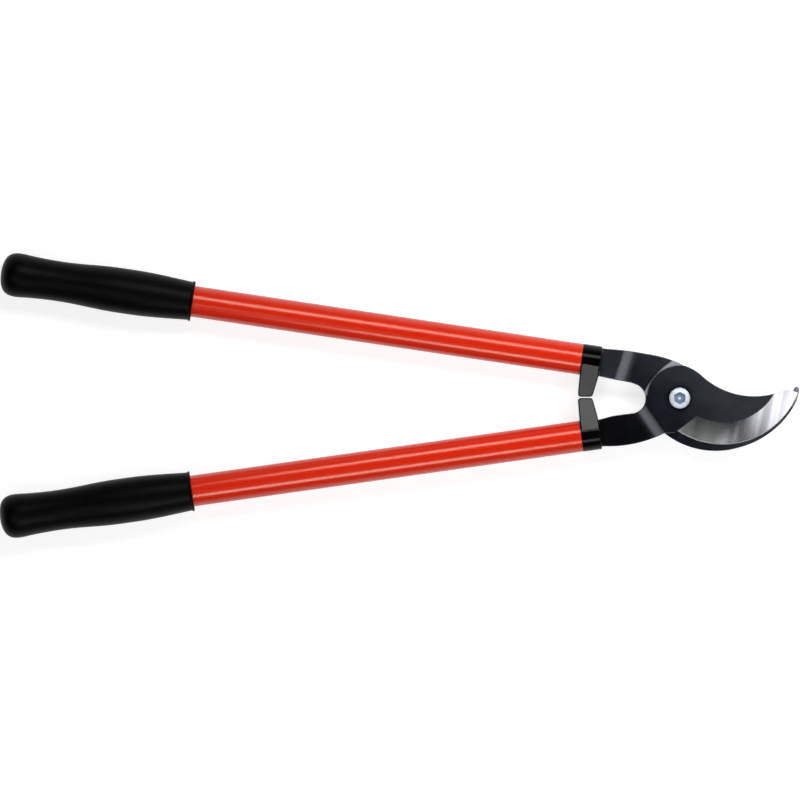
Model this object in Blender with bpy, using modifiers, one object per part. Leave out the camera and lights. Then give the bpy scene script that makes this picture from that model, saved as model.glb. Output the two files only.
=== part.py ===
"""Bypass lopper: two forged jaws on one pivot bolt, each on a steel tube with a moulded grip.

Metres, +Z up. The origin is on the pivot axis, on the end face of the pivot bolt, so the lopper lies on
Z = 0 on that face and on its two grips. +X points from the pivot to the blade tip. The driving dimensions
below are in millimetres and degrees. The lopper is at rest as it lies: shut, with its two stop blocks
just apart.
"""

import math

import bmesh
import bpy
from mathutils import Vector

MM = 0.001

# Fits and heights
GAP = 0.3
MID_PLANE = 17.2
JAW_THICKNESS = 6.0
TANG_THICKNESS = 7.0
BLADE_TOP = MID_PLANE + JAW_THICKNESS
BLADE_BACK = MID_PLANE + GAP / 2
HOOK_FACE = MID_PLANE - GAP / 2
HOOK_BOTTOM = MID_PLANE - JAW_THICKNESS
HOOK_SHOULDER_TOP = MID_PLANE + 1.4
TANG_TOP = MID_PLANE + TANG_THICKNESS / 2
TANG_BOTTOM = MID_PLANE - TANG_THICKNESS / 2

# Handles: each axis passes the pivot at HANDLE_OFFSET and leans away from it towards the grips.
# Stations along a handle are measured from the foot of the perpendicular from the pivot.
UPPER_TILT = 8.5
LOWER_TILT = 8.05
HANDLE_OFFSET = 18.35
COLLAR_START = 64.4
COLLAR_END = 78.1
SPIGOT_END = 90.0
PLUG_END = 124.0
PIN_STATION = 108.0
TUBE_END = 524.0
GRIP_START = 381.6
GRIP_END = 531.0
TONGUE_END = 118.0
TONGUE_WIDTH = 16.0
TUBE_RADIUS = 12.0
TUBE_BORE_RADIUS = 10.5
COLLAR_RADIUS = 12.2
COLLAR_CORNER = 1.6
PIN_RADIUS = 2.0
PIN_BORE_RADIUS = 1.2

# Jaw outlines: centres and radii of the arcs, about the pivot
BLADE_EDGE = ((32.8, 26.3), 62.1)
BEVEL_ROOT = ((34.7, 24.8), 43.6)
BEVEL_HEEL = ((-2.5, -27.1), (12.7, -14.1))
EDGE_LAND = 0.5
BLADE_SPINE = ((57.6, 61.3), 59.8)
BLADE_SHOULDER = ((-7.7, -10.7), 37.5)
BLADE_TANG_OUTER = ((-54.6, 59.0), 96.2)
BOSS_RADIUS = 25.3
HOOK_BACK_HEEL = ((27.8, 22.7), 63.4)
HOOK_BACK_TIP = ((28.5, 28.75), 69.05)
HOOK_TANG_OUTER = ((-71.9, -211.6), 250.1)
HOOK_TANG_SHOULDER = ((-37.8, -59.2), 94.1)
HOOK_DISC_RADIUS = 24.2
RECESS_RADIUS = 27.2
CROTCH = ((-37.7, -0.25), 11.5)
BLADE_TIP = (88.6, 5.0)
NOTCH = (-10.8, -27.2)

# Bends of the tangs: unit normal of the bend line, its distance from the pivot, and its stations
BLADE_BEND_NORMAL = Vector((-0.819, -0.574))
BLADE_BEND_AT = 24.7
BLADE_TOP_DROP_LENGTH = 16.0
BLADE_BACK_DROP_START = 15.0
BLADE_BACK_DROP_LENGTH = 13.0
HOOK_BEND_NORMAL = Vector((-0.948, 0.318))
HOOK_BEND_AT = 47.3
HOOK_BEND_HALF = 5.0

# Pivot: bolt, spring, washer, nut
HEAD_RADIUS = 8.0
HEAD_HEIGHT = 4.4
SOCKET_FLATS = 8.0
SOCKET_DEPTH = 3.4
SHANK_RADIUS = 5.0
THREAD_RADIUS = 3.8
WASHER_RADIUS = 10.0
WASHER_BOTTOM = 8.1
WASHER_TOP = 9.5
SPRING_TOP = HOOK_BOTTOM - 0.25
SPRING_HEIGHT = 1.2
SPRING_METAL = 0.6
NUT_FLATS = 13.0
NUT_TOP = WASHER_BOTTOM - 0.25
NUT_HEX_BOTTOM = 2.9
NUT_BOTTOM = 0.9
LOCK_RING_BOTTOM = 1.6
LOCK_RING_TOP = 2.4
NUT_COLLAR_RADIUS = 6.1
LOCK_RING_RADIUS = 4.8

# Stop blocks: where the two tips face each other, and the place of their corners along X
STOP_MEETING_LINE = 0.55
STOP_GAP = 0.9
STOP_TIP_LEFT = -77.4
STOP_TIP_RIGHT = -67.6
STOP_TIP_CHAMFER = 2.0
BLOCK_HALF_THICKNESS = 12.05


def linear(hex_colour):
    """An sRGB hex colour as the linear values that a shader takes."""
    values = [int(hex_colour[i : i + 2], 16) / 255 for i in (0, 2, 4)]
    return tuple(v / 12.92 if v <= 0.04045 else ((v + 0.055) / 1.055) ** 2.4 for v in values) + (1.0,)


def material(name, hex_colour, roughness, metallic=0.0):
    made = bpy.data.materials.new(name)
    made.use_nodes = True
    shader = made.node_tree.nodes["Principled BSDF"]
    shader.inputs["Base Color"].default_value = linear(hex_colour)
    shader.inputs["Roughness"].default_value = roughness
    shader.inputs["Metallic"].default_value = metallic
    return made


def arc(circle, start, end, steps, clockwise=False):
    """Points on a circle from the bearing of one point to that of another, both ends included."""
    (cx, cy), radius = circle
    first = math.atan2(start[1] - cy, start[0] - cx)
    last = math.atan2(end[1] - cy, end[0] - cx)
    if clockwise and last > first:
        last -= math.tau
    if not clockwise and last < first:
        last += math.tau
    turns = [first + (last - first) * i / steps for i in range(steps + 1)]
    return [(cx + radius * math.cos(a), cy + radius * math.sin(a)) for a in turns]


def circle_through(p, q, r):
    """Centre and radius of the circle through three points."""
    ax, ay, bx, by = q[0] - p[0], q[1] - p[1], r[0] - p[0], r[1] - p[1]
    a2, b2, cross = ax * ax + ay * ay, bx * bx + by * by, 2 * (ax * by - ay * bx)
    ux, uy = (by * a2 - ay * b2) / cross, (ax * b2 - bx * a2) / cross
    return (p[0] + ux, p[1] + uy), math.hypot(ux, uy)


def on_bearing(radius, degrees):
    return radius * math.cos(math.radians(degrees)), radius * math.sin(math.radians(degrees))


class Handle:
    """One handle's own frame: X along the handle towards the grip, Z up. side is +1 for the upper one."""

    def __init__(self, name, side, tilt):
        self.name = name
        self.side = side
        lean = math.radians(tilt)
        self.along = Vector((-math.cos(lean), side * math.sin(lean), 0))
        self.across = Vector((0, 0, 1)).cross(self.along)
        self.foot = Vector((HANDLE_OFFSET * math.sin(lean), side * HANDLE_OFFSET * math.cos(lean), 0))
        self.turn = math.atan2(self.along.y, self.along.x)
        self.empty = None

    def point(self, station, inward):
        """Place in the plane of the lopper: inward counts from the axis towards the other handle."""
        at = self.foot + self.along * station + self.across * (self.side * inward)
        return at.x, at.y


UPPER = Handle("upper", 1, UPPER_TILT)
LOWER = Handle("lower", -1, LOWER_TILT)


def clear_scene():
    for old in list(bpy.data.objects):
        bpy.data.objects.remove(old, do_unlink=True)


def new_collection(name):
    made = bpy.data.collections.new(name)
    bpy.context.scene.collection.children.link(made)
    return made


def add_object(name, mesh, collection, finish=None):
    made = bpy.data.objects.new(name, mesh)
    collection.objects.link(made)
    if finish:
        mesh.materials.append(finish)
    return made


def as_cutter(obj):
    obj.hide_render = True
    obj.display_type = "WIRE"
    return obj


def evaluated_mesh(obj):
    """The mesh that an object's curve or modifiers make. The object itself is removed."""
    bpy.context.view_layer.update()
    evaluated = obj.evaluated_get(bpy.context.evaluated_depsgraph_get())
    mesh = bpy.data.meshes.new_from_object(evaluated)
    bpy.data.objects.remove(obj, do_unlink=True)
    return mesh


def plate_mesh(name, outline, bottom, top):
    """A flat outline with a thickness, as a closed mesh whose two faces are single polygons."""
    curve = bpy.data.curves.new(name, "CURVE")
    curve.dimensions = "2D"
    curve.fill_mode = "BOTH"
    curve.extrude = (top - bottom) / 2 * MM
    spline = curve.splines.new("POLY")
    spline.points.add(len(outline) - 1)
    for point, (x, y) in zip(spline.points, outline):
        point.co = (x * MM, y * MM, 0, 1)
    spline.use_cyclic_u = True
    holder = bpy.data.objects.new(name, curve)
    bpy.context.scene.collection.objects.link(holder)
    mesh = evaluated_mesh(holder)
    shape = bmesh.new()
    shape.from_mesh(mesh)
    bmesh.ops.remove_doubles(shape, verts=shape.verts, dist=1e-6)
    bmesh.ops.dissolve_limit(shape, angle_limit=0.002, verts=shape.verts, edges=shape.edges)
    bmesh.ops.translate(shape, vec=(0, 0, (top + bottom) / 2 * MM), verts=shape.verts)
    bmesh.ops.recalc_face_normals(shape, faces=shape.faces)
    shape.to_mesh(mesh)
    shape.free()
    mesh.name = name
    return mesh


def bend(mesh, normal, stations, level):
    """Cuts the tang across at each station and gives each point of it the height that level names."""
    shape = bmesh.new()
    shape.from_mesh(mesh)
    middle = sum(v.co.z for v in shape.verts) / len(shape.verts)
    across = Vector((normal.x, normal.y, 0))
    for station in stations:
        everything = shape.verts[:] + shape.edges[:] + shape.faces[:]
        place = across * station * MM
        bmesh.ops.bisect_plane(shape, geom=everything, dist=1e-7, plane_co=place, plane_no=across)
    for vert in shape.verts:
        vert.co.z = level(vert.co.dot(across) / MM, vert.co.z > middle) * MM
    bmesh.ops.triangulate(shape, faces=shape.faces)
    shape.to_mesh(mesh)
    shape.free()


def smooth(u):
    u = min(max(u, 0.0), 1.0)
    return u * u * (3 - 2 * u)


def ease_out(u):
    u = min(max(u, 0.0), 1.0)
    return 1 - (1 - u) ** 2


def turned(name, profile, steps, collection, finish=None, closed=False):
    """A profile of (radius, height) points, running down the outer side, turned about Z."""
    mesh = bpy.data.meshes.new(name)
    count = len(profile)
    edges = [(i, i + 1) for i in range(count - 1)] + ([(count - 1, 0)] if closed else [])
    mesh.from_pydata([(r * MM, 0, z * MM) for r, z in profile], edges, [])
    made = add_object(name, mesh, collection, finish)
    screw = made.modifiers.new("Turn", "SCREW")
    screw.steps = screw.render_steps = steps
    screw.use_merge_vertices = True
    screw.merge_threshold = 1e-6
    screw.use_smooth_shade = True
    return made


def ring(name, inner, outer, bottom, top, steps, collection, finish=None):
    profile = [(outer, top), (outer, bottom), (inner, bottom), (inner, top)]
    return turned(name, profile, steps, collection, finish, closed=True)


def rod(name, radius, bottom, top, steps, collection):
    profile = [(0, top), (radius, top), (radius, bottom), (0, bottom)]
    return turned(name, profile, steps, collection)


def box(name, low, high, collection, finish=None):
    shape = bmesh.new()
    bmesh.ops.create_cube(shape, size=1.0)
    for vert in shape.verts:
        vert.co = [(lo if c < 0 else hi) * MM for c, lo, hi in zip(vert.co, low, high)]
    mesh = bpy.data.meshes.new(name)
    shape.to_mesh(mesh)
    shape.free()
    return add_object(name, mesh, collection, finish)


def hexagon(name, flats, bottom, top, collection, finish=None):
    shape = bmesh.new()
    corner = flats / math.sqrt(3) * MM
    bmesh.ops.create_cone(
        shape, cap_ends=True, segments=6, radius1=corner, radius2=corner, depth=(top - bottom) * MM
    )
    bmesh.ops.translate(shape, vec=(0, 0, (top + bottom) / 2 * MM), verts=shape.verts)
    mesh = bpy.data.meshes.new(name)
    shape.to_mesh(mesh)
    shape.free()
    return add_object(name, mesh, collection, finish)


def boolean(target, other, operation="DIFFERENCE"):
    step = target.modifiers.new(other.name, "BOOLEAN")
    step.operation = operation
    step.object = other
    step.solver = "EXACT"
    as_cutter(other)


def lay_along(obj, handle, lift=MID_PLANE):
    """Puts a piece turned about Z on the handle, its Z along the handle."""
    obj.parent = handle.empty
    obj.location = (0, 0, lift * MM)
    obj.rotation_euler = (0, math.pi / 2, 0)


def frames(parts):
    """The pivot's empty, and below it one empty for each handle, turned along it."""
    pivot = bpy.data.objects.new("pivot", None)
    parts.objects.link(pivot)
    for handle in (UPPER, LOWER):
        handle.empty = bpy.data.objects.new(handle.name + "_handle", None)
        parts.objects.link(handle.empty)
        handle.empty.parent = pivot
        handle.empty.location = handle.foot * MM
        handle.empty.rotation_euler = (0, 0, handle.turn)
    return pivot


def tongue(handle):
    """The narrow end of a tang, from the outer shoulder round to the inner one."""
    half = TONGUE_WIDTH / 2
    shoulder = COLLAR_START - GAP
    outer = [(TONGUE_END, -half), (shoulder, -half)]
    inner = [(shoulder, half), (TONGUE_END, half)]
    return [handle.point(*p) for p in outer], [handle.point(*p) for p in inner]


def blade_outline():
    outer, inner = tongue(LOWER)
    shoulder = COLLAR_START - GAP
    points = outer + [LOWER.point(shoulder, -10.2)]
    points += arc(BLADE_TANG_OUTER, (-57.4, -37.2), (-12.0, -27.4), 10)
    points += [NOTCH, (-4.0, -26.7)]
    points += arc(BLADE_EDGE, (3.0, -28.2), (91.2, 3.9), 28)
    points += [BLADE_TIP, (84.5, 6.5)]
    points += arc(BLADE_SPINE, (80.0, 5.9), (18.5, 16.0), 16, clockwise=True)
    points += arc(BLADE_SHOULDER, (16.0, 18.3), (5.0, 24.6), 4)
    points += arc(((0, 0), BOSS_RADIUS), (3.5, 25.0), (-25.2, 2.2), 18)
    points += arc(CROTCH, (-26.4, 1.7), (-37.3, -11.7), 10, clockwise=True)
    points += [(-44.3, -12.6), (-51.5, -13.7), LOWER.point(shoulder, 10.6)]
    return points + inner


def blade_level(station, top):
    past = station - BLADE_BEND_AT
    if top:
        return BLADE_TOP + (TANG_TOP - BLADE_TOP) * ease_out(past / BLADE_TOP_DROP_LENGTH)
    drop = smooth((past - BLADE_BACK_DROP_START) / BLADE_BACK_DROP_LENGTH)
    return BLADE_BACK + (TANG_BOTTOM - BLADE_BACK) * drop


def bevel_cone(cutters):
    """What the grinding takes away: all above a cone from the edge to the root circle, whose centres differ."""
    (edge_x, edge_y), edge = BLADE_EDGE
    (root_x, root_y), root = BEVEL_ROOT
    foot = BLADE_BACK + EDGE_LAND
    slope = (BLADE_TOP - foot) / (edge - root)
    inner, outer, roof = root - 3.0, edge + 8.0, BLADE_TOP + 3.0
    low, high = (foot + (edge - radius) * slope for radius in (outer, inner))
    profile = [(outer, roof), (outer, low), (inner, high), (inner, roof)]
    mesh = evaluated_mesh(turned("bevel_cone", profile, 128, cutters, closed=True))
    for vert in mesh.vertices:
        share = (vert.co.z / MM - foot) / (BLADE_TOP - foot)
        vert.co.x += (edge_x + (root_x - edge_x) * share) * MM
        vert.co.y += (edge_y + (root_y - edge_y) * share) * MM
    return mesh


def make_blade(parts, cutters, bolt_hole, pin_hole, steel, pivot):
    """Front jaw: an arc edge with a wide cone-ground bevel, the boss, and the bent tang."""
    mesh = plate_mesh("blade_jaw", blade_outline(), BLADE_BACK, BLADE_TOP)
    drop_end = BLADE_BACK_DROP_START + BLADE_BACK_DROP_LENGTH
    stations = [BLADE_BEND_AT + 2 * i for i in range(int(drop_end / 2) + 1)]
    bend(mesh, BLADE_BEND_NORMAL, stations, blade_level)
    blade = add_object("blade_jaw", mesh, parts, steel)
    blade.parent = pivot

    grinding = add_object("bevel_grinding", bevel_cone(cutters), cutters)
    heel = box("bevel_heel_stop", (-90, -60, 10), (0, 60, 30), cutters)
    (x0, y0), (x1, y1) = BEVEL_HEEL
    heel.location = (x0 * MM, y0 * MM, 0)
    heel.rotation_euler = (0, 0, math.atan2(y1 - y0, x1 - x0) - math.pi / 2)
    boolean(grinding, heel)
    boolean(blade, grinding)
    boolean(blade, bolt_hole)
    boolean(blade, pin_hole)
    return blade


def hook_outline():
    outer, inner = tongue(UPPER)
    shoulder = COLLAR_START - GAP
    throat = circle_through((20.3, -13.2), (19.9, -24.0), (26.0, -31.2))
    mouth = circle_through((26.0, -31.2), (48.6, -29.8), (88.4, 7.6))
    points = outer + [UPPER.point(shoulder, -10.9)]
    points += arc(HOOK_TANG_OUTER, (-56.0, 38.0), (-26.5, 34.4), 5, clockwise=True)
    points += arc(HOOK_TANG_SHOULDER, (-21.5, 33.4), (1.5, 26.2), 7, clockwise=True)
    points += arc(((0, 0), HOOK_DISC_RADIUS), (4.2, 23.8), (20.8, -12.4), 16, clockwise=True)
    points += arc(throat, (20.3, -13.2), (26.0, -31.2), 8)[:-1]
    points += arc(mouth, (26.0, -31.2), (88.4, 7.6), 24)
    points += [(89.3, 8.9), (92.0, 9.0), (93.2, 7.4)]
    points += arc(HOOK_BACK_TIP, (93.6, 6.4), (47.2, -37.2), 20, clockwise=True)
    points += arc(HOOK_BACK_HEEL, (44.5, -38.0), NOTCH, 18, clockwise=True)
    disc_corner = on_bearing(HOOK_DISC_RADIUS, 222)
    points += arc(((0, 0), HOOK_DISC_RADIUS), disc_corner, on_bearing(1, 195), 5, clockwise=True)
    points += arc(CROTCH, (-26.5, -2.2), (-37.3, 11.2), 10)
    points += [(-44.3, 13.4), (-51.5, 14.5), UPPER.point(shoulder, 10.9)]
    return points + inner


def hook_level(station, top):
    rise = smooth((station - HOOK_BEND_AT) / (2 * HOOK_BEND_HALF) + 0.5)
    if top:
        return HOOK_SHOULDER_TOP + (TANG_TOP - HOOK_SHOULDER_TOP) * rise
    return HOOK_BOTTOM + (TANG_BOTTOM - HOOK_BOTTOM) * rise


def make_hook(parts, cutters, bolt_hole, pin_hole, steel, pivot):
    """Rear jaw: a slim hook, the boss with the machined seat that the blade turns in, and the bent tang."""
    mesh = plate_mesh("hook_jaw", hook_outline(), HOOK_BOTTOM, HOOK_SHOULDER_TOP)
    stations = [HOOK_BEND_AT - HOOK_BEND_HALF + i for i in range(int(2 * HOOK_BEND_HALF) + 1)]
    bend(mesh, HOOK_BEND_NORMAL, stations, hook_level)
    hook = add_object("hook_jaw", mesh, parts, steel)
    hook.parent = pivot
    seat = [(-40.0, -0.5), (-40.0, -60.0), (110.0, -60.0), (110.0, 45.0), (-3.5, 45.0), (-3.5, 30.6)]
    seat += arc(((0, 0), RECESS_RADIUS), (-11.9, 24.8), on_bearing(1, 174), 12)
    machining = add_object("seat_machining", plate_mesh("seat", seat, HOOK_FACE, 40.0), cutters)
    boolean(hook, machining)
    boolean(hook, bolt_hole)
    boolean(hook, pin_hole)
    return hook


def make_pivot(parts, cutters, zinc, spring_steel, nylon, pivot):
    """Bolt from the blade's side, and disc spring, washer and self-locking nut on the back."""
    head_bottom = BLADE_TOP + GAP
    head_top = head_bottom + HEAD_HEIGHT
    shank_end = WASHER_TOP + 0.25
    profile = [
        (0, head_top),
        (HEAD_RADIUS - 1.3, head_top),
        (HEAD_RADIUS - 0.4, head_top - 0.4),
        (HEAD_RADIUS, head_top - 1.3),
        (HEAD_RADIUS, head_bottom),
        (SHANK_RADIUS, head_bottom),
        (SHANK_RADIUS, shank_end),
        (THREAD_RADIUS, shank_end),
        (THREAD_RADIUS, 0.6),
        (THREAD_RADIUS - 0.6, 0),
        (0, 0),
    ]
    bolt = turned("pivot_bolt", profile, 48, parts, zinc)
    socket = hexagon("socket_broach", SOCKET_FLATS, head_top - SOCKET_DEPTH, head_top + 2, cutters)
    boolean(bolt, socket)

    low = SPRING_TOP - SPRING_HEIGHT
    section = [
        (WASHER_RADIUS, low + SPRING_METAL),
        (WASHER_RADIUS, low),
        (SHANK_RADIUS + GAP, SPRING_TOP - SPRING_METAL),
        (SHANK_RADIUS + GAP, SPRING_TOP),
    ]
    spring = turned("disc_spring", section, 48, parts, spring_steel, closed=True)
    bore = THREAD_RADIUS + GAP
    washer = ring("nut_washer", bore, WASHER_RADIUS, WASHER_BOTTOM, WASHER_TOP, 48, parts, zinc)

    nut = hexagon("pivot_nut", NUT_FLATS, NUT_HEX_BOTTOM, NUT_TOP, parts, zinc)
    collar = rod("nut_collar", NUT_COLLAR_RADIUS, NUT_BOTTOM, NUT_HEX_BOTTOM + 0.5, 36, cutters)
    boolean(nut, collar, "UNION")
    groove_top, groove_bottom = LOCK_RING_TOP + GAP, LOCK_RING_BOTTOM - GAP
    groove = LOCK_RING_RADIUS + GAP
    bore_profile = [
        (0, NUT_TOP + 2),
        (bore, NUT_TOP + 2),
        (bore, groove_top),
        (groove, groove_top),
        (groove, groove_bottom),
        (bore + 0.4, groove_bottom),
        (bore + 0.4, NUT_BOTTOM - 2),
        (0, NUT_BOTTOM - 2),
    ]
    boolean(nut, turned("nut_bore", bore_profile, 36, cutters))
    lock_size = (bore, LOCK_RING_RADIUS, LOCK_RING_BOTTOM, LOCK_RING_TOP)
    lock = ring("nut_lock_ring", *lock_size, 36, parts, nylon)
    for piece in (bolt, spring, washer, nut, lock):
        piece.parent = pivot


def stop_block_outline(handle):
    """Plan of the stop block: from the handle's axis to its tip, which faces the other block."""
    tip = STOP_MEETING_LINE + handle.side * STOP_GAP / 2
    chamfer = tip + handle.side * STOP_TIP_CHAMFER
    return [
        handle.point(COLLAR_START, 0),
        handle.point(COLLAR_END - 0.4, 0),
        handle.point(COLLAR_END - 0.4, TUBE_RADIUS + 0.6),
        handle.point(COLLAR_END + 0.9, TUBE_RADIUS + 1.2),
        (STOP_TIP_LEFT - 0.9, chamfer),
        (STOP_TIP_LEFT, tip),
        (STOP_TIP_RIGHT, tip),
        (STOP_TIP_RIGHT + 1.0, chamfer),
        handle.point(COLLAR_START, TUBE_RADIUS),
    ]


def make_handle(handle, parts, cutters, finishes):
    """Tube, ferrule with its stop block, plug and pin inside the tube, and the grip."""
    name = handle.name
    bore = TUBE_BORE_RADIUS
    tube = ring(name + "_tube", bore, TUBE_RADIUS, COLLAR_END + GAP, TUBE_END, 36, parts, finishes["paint"])

    slot_size = (TANG_THICKNESS / 2 + GAP, TONGUE_WIDTH / 2 + GAP)
    low = (-slot_size[0], -slot_size[1], COLLAR_START - 5)
    high = (slot_size[0], slot_size[1], PLUG_END + 5)
    slot = box(name + "_tang_slot", low, high, cutters)

    spigot = TUBE_BORE_RADIUS - GAP
    round_corner = [
        (COLLAR_RADIUS - COLLAR_CORNER * (1 - math.cos(a)), COLLAR_START + COLLAR_CORNER * (1 - math.sin(a)))
        for a in (math.pi / 8 * i for i in range(5))
    ]
    profile = [(0, SPIGOT_END), (spigot, SPIGOT_END), (spigot, COLLAR_END), (COLLAR_RADIUS, COLLAR_END)]
    profile += round_corner + [(0, COLLAR_START)]
    ferrule = turned(name + "_ferrule", profile, 48, parts, finishes["moulding"])
    block_mesh = plate_mesh(
        name + "_stop_block",
        stop_block_outline(handle),
        MID_PLANE - BLOCK_HALF_THICKNESS,
        MID_PLANE + BLOCK_HALF_THICKNESS,
    )
    block = add_object(name + "_stop_block", block_mesh, cutters)
    rounding = block.modifiers.new("Rounded edges", "BEVEL")
    rounding.width = 1.2 * MM
    rounding.segments = 3
    rounding.limit_method = "ANGLE"
    rounding.angle_limit = math.radians(50)
    boolean(ferrule, block, "UNION")
    boolean(ferrule, slot)

    plug = rod(name + "_tang_plug", spigot, SPIGOT_END + GAP, PLUG_END, 36, parts)
    plug.data.materials.append(finishes["nylon"])
    boolean(plug, slot)

    pin_reach = TUBE_RADIUS - 0.4
    steel = finishes["spring_steel"]
    pin = ring(name + "_tang_pin", PIN_BORE_RADIUS, PIN_RADIUS, -pin_reach, pin_reach, 20, parts, steel)
    split = box(name + "_pin_split", (0, -0.4, -20), (4, 0.4, 20), cutters)
    boolean(pin, split)
    hole = rod(name + "_pin_hole", PIN_RADIUS + GAP, -20, 20, 20, cutters)
    for piece in (pin, split, hole):
        piece.parent = handle.empty
        piece.location = (PIN_STATION * MM, 0, MID_PLANE * MM)
        piece.rotation_euler = (math.pi / 2, 0, 0)
    boolean(tube, hole)
    boolean(plug, hole)

    grip = turned(name + "_grip", grip_profile(), 40, parts, finishes["grip"])
    for piece in (tube, slot, ferrule, plug, grip):
        lay_along(piece, handle)
    return hole


def grip_profile():
    """Grip section from the crown of its butt end, along the outside to the lip, and back up the bore."""
    butt = [(0.0, 0.0), (4.5, 0.3), (8.5, 1.3), (11.6, 2.9), (13.9, 5.0), (15.6, 7.9), (16.5, 11.5)]
    waist = [(16.6, 16.0), (16.1, 23.0), (15.65, 31.0), (15.35, 40.0), (15.3, 46.5), (15.5, 56.0)]
    swell = [(16.0, 65.0), (16.6, 74.0), (17.05, 83.0), (17.2, 92.5), (17.15, 108.0), (16.6, 121.0)]
    neck = [(15.7, 134.0), (15.0, 143.0), (14.7, 147.0), (15.0, 148.2), (15.0, 149.0)]
    length, bore, floor = GRIP_END - GRIP_START, TUBE_RADIUS + GAP, GRIP_END - TUBE_END - 0.6
    end = [(14.6, length), (bore, length), (bore, floor), (0.0, floor)]
    return [(radius, GRIP_END - depth) for radius, depth in butt + waist + swell + neck + end]


def main():
    clear_scene()
    parts = new_collection("lopper")
    cutters = new_collection("cutters")
    finishes = {
        "paint": material("red_enamel", "D8281A", 0.28),
        "moulding": material("black_moulding", "26282A", 0.42),
        "grip": material("black_grip", "101112", 0.55),
        "nylon": material("white_nylon", "E4E1D8", 0.5),
        "spring_steel": material("spring_steel", "5A5C60", 0.4, 1.0),
    }
    blade_steel = material("blade_steel", "30343A", 0.4, 0.6)
    hook_steel = material("hook_steel", "34363A", 0.45, 0.6)
    zinc = material("zinc_plate", "D5DCE4", 0.25, 1.0)
    pivot = frames(parts)
    bolt_hole = rod("bolt_hole", SHANK_RADIUS + GAP, 0, 40, 48, cutters)
    upper_pin_hole = make_handle(UPPER, parts, cutters, finishes)
    lower_pin_hole = make_handle(LOWER, parts, cutters, finishes)
    make_blade(parts, cutters, bolt_hole, lower_pin_hole, blade_steel, pivot)
    make_hook(parts, cutters, bolt_hole, upper_pin_hole, hook_steel, pivot)
    make_pivot(parts, cutters, zinc, finishes["spring_steel"], finishes["nylon"], pivot)


main()
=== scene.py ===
"""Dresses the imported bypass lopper: a finished mesh and material for each piece, then floor, lamps, camera.

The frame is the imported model's: the pivot bolt stands on the origin, +X runs to the blade's tip and +Z up
the bolt. The file follows the object as it goes together: the two jaws, the pivot, then each handle from
the jaw's tang outwards. Sizes are in millimetres and angles in degrees unless a comment says otherwise,
and MM turns millimetres into metres. A circle is given as its centre and its radius.
"""

import math

import bmesh
import bpy
from mathutils import Matrix, Vector


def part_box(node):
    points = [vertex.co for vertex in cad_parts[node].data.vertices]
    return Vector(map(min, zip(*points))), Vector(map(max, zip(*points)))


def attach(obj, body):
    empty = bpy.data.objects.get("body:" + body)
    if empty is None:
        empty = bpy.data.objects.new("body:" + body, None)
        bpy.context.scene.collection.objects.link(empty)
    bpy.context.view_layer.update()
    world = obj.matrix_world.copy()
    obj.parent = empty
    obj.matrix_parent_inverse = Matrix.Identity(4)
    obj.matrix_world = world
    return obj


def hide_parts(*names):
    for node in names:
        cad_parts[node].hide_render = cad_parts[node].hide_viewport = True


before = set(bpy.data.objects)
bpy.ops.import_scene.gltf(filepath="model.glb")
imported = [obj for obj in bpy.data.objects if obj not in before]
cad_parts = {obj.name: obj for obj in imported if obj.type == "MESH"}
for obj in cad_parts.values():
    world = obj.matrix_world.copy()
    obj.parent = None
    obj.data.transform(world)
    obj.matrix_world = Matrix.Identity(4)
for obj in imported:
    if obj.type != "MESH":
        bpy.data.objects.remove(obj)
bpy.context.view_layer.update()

# Hook jaw: the rear jaw, drop-forged in carbon steel and blackened in hot oil. Its flat seat, in which the
# other jaw turns, is milled about 1.5 mm into the boss. The blade's boss has rubbed the seat's floor bright.
MM = 0.001
MERGE = 0.0001 * MM
SPECK = 0.002 * MM
GAP = 0.3
HOOK_BOTTOM = 11.2
MID_PLANE = 17.2
HOOK_FACE = MID_PLANE - GAP / 2
SHOULDER_TOP = MID_PLANE + 1.4
TANG_HALF = 3.5
HANDLE_OFFSET = 18.35
UPPER_TILT = 8.5
LOWER_TILT = 8.05
COLLAR_START = 64.4
SHOULDER_GAP = 0.03
TONGUE_END = 118.0
TONGUE_WIDTH = 16.0
BOLT_HOLE = 5.3
CUTTER_TOP = 40.0
PIN_STATION = 108.0
PIN_RADIUS = 2.0
PIN_CUT = 20.0
NOTCH = (-10.8, -27.2)
CROTCH = ((-37.7, -0.25), 11.5)
HOOK_DISC = ((0, 0), 24.2)
HOOK_SHOULDER_HALF = 10.9
HOOK_TANG_OUTER = ((-71.9, -211.6), 250.1)
HOOK_TANG_SHOULDER = ((-37.8, -59.2), 94.1)
HOOK_TANG_INNER = [(-37.4, 11.8), (-44.3, 13.2), (-51.5, 14.5)]
HOOK_THROAT = ((20.3, -13.2), (19.9, -24.0), (26.0, -31.2))
HOOK_INSIDE = ((26.0, -31.2), (48.6, -29.8), (88.4, 7.6))
HOOK_KNOB = [(89.0, 8.3), (90.0, 8.9), (91.3, 8.6), (92.2, 7.4), (92.3, 5.6), (91.6, 2.6)]
HOOK_BACK_TIP = ((28.5, 28.75), 69.05)
HOOK_BACK_HEEL = ((27.8, 22.7), 63.4)
HOOK_BEND = (Vector((-0.948, 0.318, 0)), 46.3, 6.0)
SEAT_CORNER = 0.4
SEAT_OPEN_SIDES = [(-40.0, -0.5), (-40.0, -60.0), (110.0, -60.0), (110.0, 45.0), (-3.5, 45.0)]
SEAT_WALL = ((-3.5, 30.6), (-17.8, 18.9), (-26.8, 6.0))
SEAT_WALL_END = (-28.6, 2.6)
RUBBED_REACH = ((-5.0, 5.0), 24.5)
RUBBED_DEPTH = 0.03
TOWARDS_CUT = (0.707, 0.707, 0)


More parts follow.
